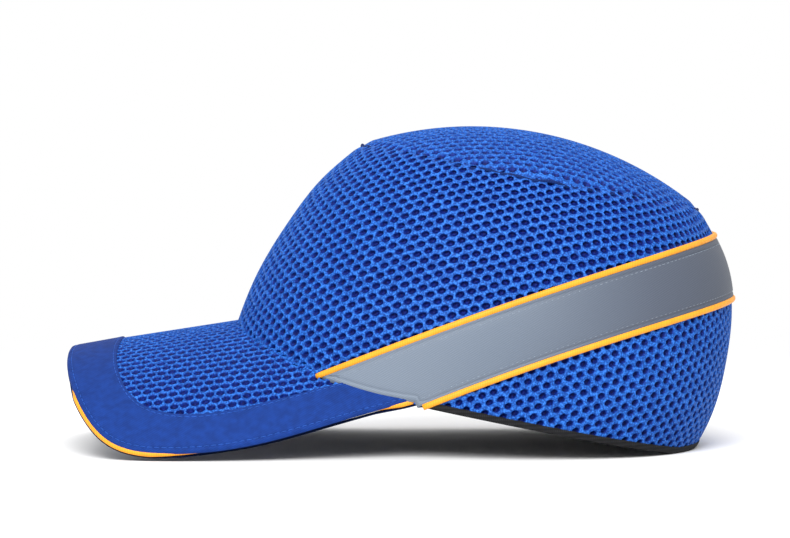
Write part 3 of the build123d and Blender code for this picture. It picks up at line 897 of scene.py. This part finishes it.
# ---- Hem, sweatband and elastic ----
def strip_ring(turns, low, high, outer, inner, bulge=0.6, rows=7):
    """A soft strip round the cap with rounded edges, closed in section."""
    share = np.linspace(0, 1, rows)
    levels, insets = [], []
    for s in share:
        levels.append(low + (high - low) * s)
        insets.append(np.full_like(turns, outer - bulge * 0.35 * math.sin(math.pi * s)))
    for s in share[::-1]:
        levels.append(low + (high - low) * s)
        insets.append(np.full_like(turns, inner + bulge * math.sin(math.pi * s) ** 0.5))
    points = wall(np.tile(turns, (len(levels), 1)), np.array(levels), np.array(insets))
    faces = grid_faces(len(levels), len(turns), wrap_rows=True)
    last = len(turns)
    faces.append(tuple(i * last for i in range(len(levels))))
    faces.append(tuple((i + 1) * last - 1 for i in reversed(range(len(levels)))))
    return points.reshape(-1, 3), faces


def build_hem():
    turns = np.linspace(1.30, 2 * math.pi - 1.30, 220)
    spots = wall(turns, level_where(turns, above_hem))
    turns = turns[side_view(spots)[0] > PEAK_END_X - 1]
    low = level_where(turns, above_hem)
    points, faces = strip_ring(turns, low, low + 2.7, -0.45, FABRIC, 0.5)
    points[:, 2] = np.maximum(points[:, 2], 0.0)
    hem = new_object("hem_tape", points, faces, tape_black)
    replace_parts(hem, "hem_binding")


def build_sweatband():
    slope = math.tan(math.radians(13.8))

    def over_top(points):
        x, z = side_view(points)
        return z - (80.0 - slope * x)

    def under_peak(points):
        behind = side_view(points)[0] >= PEAK_END_X
        return np.where(behind, above_hem(points), above_peak(points) + PEAK_THICKNESS)

    turns = np.linspace(-2.18, 2.18, 200)
    foot = level_where(turns, under_peak, FABRIC)
    foot = np.maximum(foot, level_where(turns, above_hem, FABRIC))
    top = level_where(turns, over_top, FABRIC)
    points, faces = strip_ring(turns, foot + 0.4, top, FABRIC + 0.1, FABRIC + 1.9, 0.5, 9)
    band = new_object("sweatband_towelling", points, faces, towelling)
    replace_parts(band, "sweatband")
    turns = np.linspace(2.19, 2 * math.pi - 2.19, 120)
    low = level_where(turns, above_hem, FABRIC)
    high = level_where(turns, lambda p: above_hem(p) - 22.0, FABRIC)
    points, faces = strip_ring(turns, low + 0.5, high, FABRIC + 0.1, FABRIC + 1.3, 0.3, 9)
    points[:, 2] = np.maximum(points[:, 2], 0.0003)
    elastic = new_object("nape_elastic_tape", points, faces, tape_black)
    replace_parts(elastic, "nape_elastic")


# ---- Pads: rounded foam from the frame's pads ----
def build_pads():
    for node in ("front_pad", "rear_pad", "side_pad_left", "side_pad_right", "crown_pad"):
        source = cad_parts[node]
        data = source.data.copy()
        data.materials.clear()
        data.materials.append(foam)
        pad = bpy.data.objects.new(node + "_foam", data)
        bpy.context.collection.objects.link(pad)
        bpy.context.view_layer.objects.active = pad
        for other in bpy.context.selected_objects:
            other.select_set(False)
        pad.select_set(True)
        remesh = pad.modifiers.new("remesh", "REMESH")
        remesh.mode, remesh.voxel_size = "VOXEL", 1.4 * MM
        relax = pad.modifiers.new("relax", "SMOOTH")
        relax.factor, relax.iterations = 0.5, 6
        for modifier in list(pad.modifiers):
            bpy.ops.object.modifier_apply(modifier=modifier.name)
        pad.data.polygons.foreach_set("use_smooth", [True] * len(pad.data.polygons))
        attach(pad, "insert")
        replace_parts(pad, node)


def dress_frame():
    """Better materials for the rigid and hidden pieces that stay as the frame has them."""
    finishes = {
        "bump_shell": shell_plastic, "peak_core": board_plastic, "hook_patches": hook_plastic,
        "loop_patches": loop_cloth, "top_seam_tape": tape_black,
    }
    for node, material in finishes.items():
        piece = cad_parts[node]
        for slot in piece.material_slots:
            slot.material = material


# ---- Stage, light and camera ----
def build_stage():
    floor_data = bpy.data.meshes.new("floor")
    size = 4.0
    corners = [(-size, -size, 0), (size, -size, 0), (size, size, 0), (-size, size, 0)]
    floor_data.from_pydata(corners, [], [(0, 1, 2, 3)])
    floor = bpy.data.objects.new("floor", floor_data)
    bpy.context.collection.objects.link(floor)
    material, nodes, links, shader = new_material("pale_floor")
    shader.inputs["Base Color"].default_value = (0.93, 0.93, 0.93, 1)
    shader.inputs["Roughness"].default_value = 0.9
    shader.inputs["Specular IOR Level"].default_value = 0.1
    clear = nodes.new("ShaderNodeBsdfTransparent")
    either = nodes.new("ShaderNodeMixShader")
    side = nodes.new("ShaderNodeNewGeometry")
    links.new(side.outputs["Backfacing"], either.inputs[0])
    place = add_node(nodes, "ShaderNodeTexCoord")
    away = add_node(nodes, "ShaderNodeVectorMath", operation="LENGTH")
    links.new(place.outputs["Object"], away.inputs[0])
    fade = add_node(nodes, "ShaderNodeMapRange", interpolation_type="SMOOTHSTEP")
    fade.inputs["From Min"].default_value = 0.22
    fade.inputs["From Max"].default_value = 0.75
    links.new(away.outputs["Value"], fade.inputs["Value"])
    bright = add_node(nodes, "ShaderNodeEmission")
    far = nodes.new("ShaderNodeMixShader")
    links.new(fade.outputs["Result"], far.inputs[0])
    links.new(shader.outputs[0], far.inputs[1])
    links.new(bright.outputs[0], far.inputs[2])
    links.new(far.outputs[0], either.inputs[1])
    links.new(clear.outputs[0], either.inputs[2])
    links.new(either.outputs[0], nodes["Material Output"].inputs["Surface"])
    floor_data.materials.append(material)
    floor.location.z = -0.0002
    world = bpy.data.worlds.new("studio")
    bpy.context.scene.world = world
    world.use_nodes = True
    world.node_tree.nodes["Background"].inputs["Color"].default_value = (1, 1, 1, 1)
    world.node_tree.nodes["Background"].inputs["Strength"].default_value = 1.0
    for name, spot, width, power in (
        ("key", (-0.15, -1.25, 0.95), 0.8, 27.0),
        ("top", (0.1, 0.1, 1.5), 1.4, 3.0),
    ):
        lamp = bpy.data.lights.new(name, "AREA")
        lamp.energy, lamp.size = power, width
        light = bpy.data.objects.new(name, lamp)
        light.location = spot
        light.rotation_euler = (Vector((0, 0, 0.06)) - Vector(spot)).to_track_quat("-Z", "Y").to_euler()
        bpy.context.collection.objects.link(light)


def build_camera():
    elevation, distance = math.radians(2.0), 1.5
    target = Vector((FRONT_FOOT + 66.8 * MM, 0, 74.9 * MM))
    lens = bpy.data.cameras.new("camera")
    lens.sensor_width, lens.lens = 36.0, 159.7
    lens.clip_start, lens.clip_end = 0.05, 20.0
    camera = bpy.data.objects.new("camera", lens)
    camera.location = target + distance * Vector((0, -math.cos(elevation), math.sin(elevation)))
    camera.rotation_euler = (math.pi / 2 - elevation, 0, 0)
    bpy.context.collection.objects.link(camera)
    bpy.context.scene.camera = camera


build_camera()
build_stage()
build_crown()
build_top()
build_band()
build_peak()
build_hem()
build_sweatband()
build_pads()
dress_frame()
bpy.context.scene.view_settings.view_transform = "Standard"
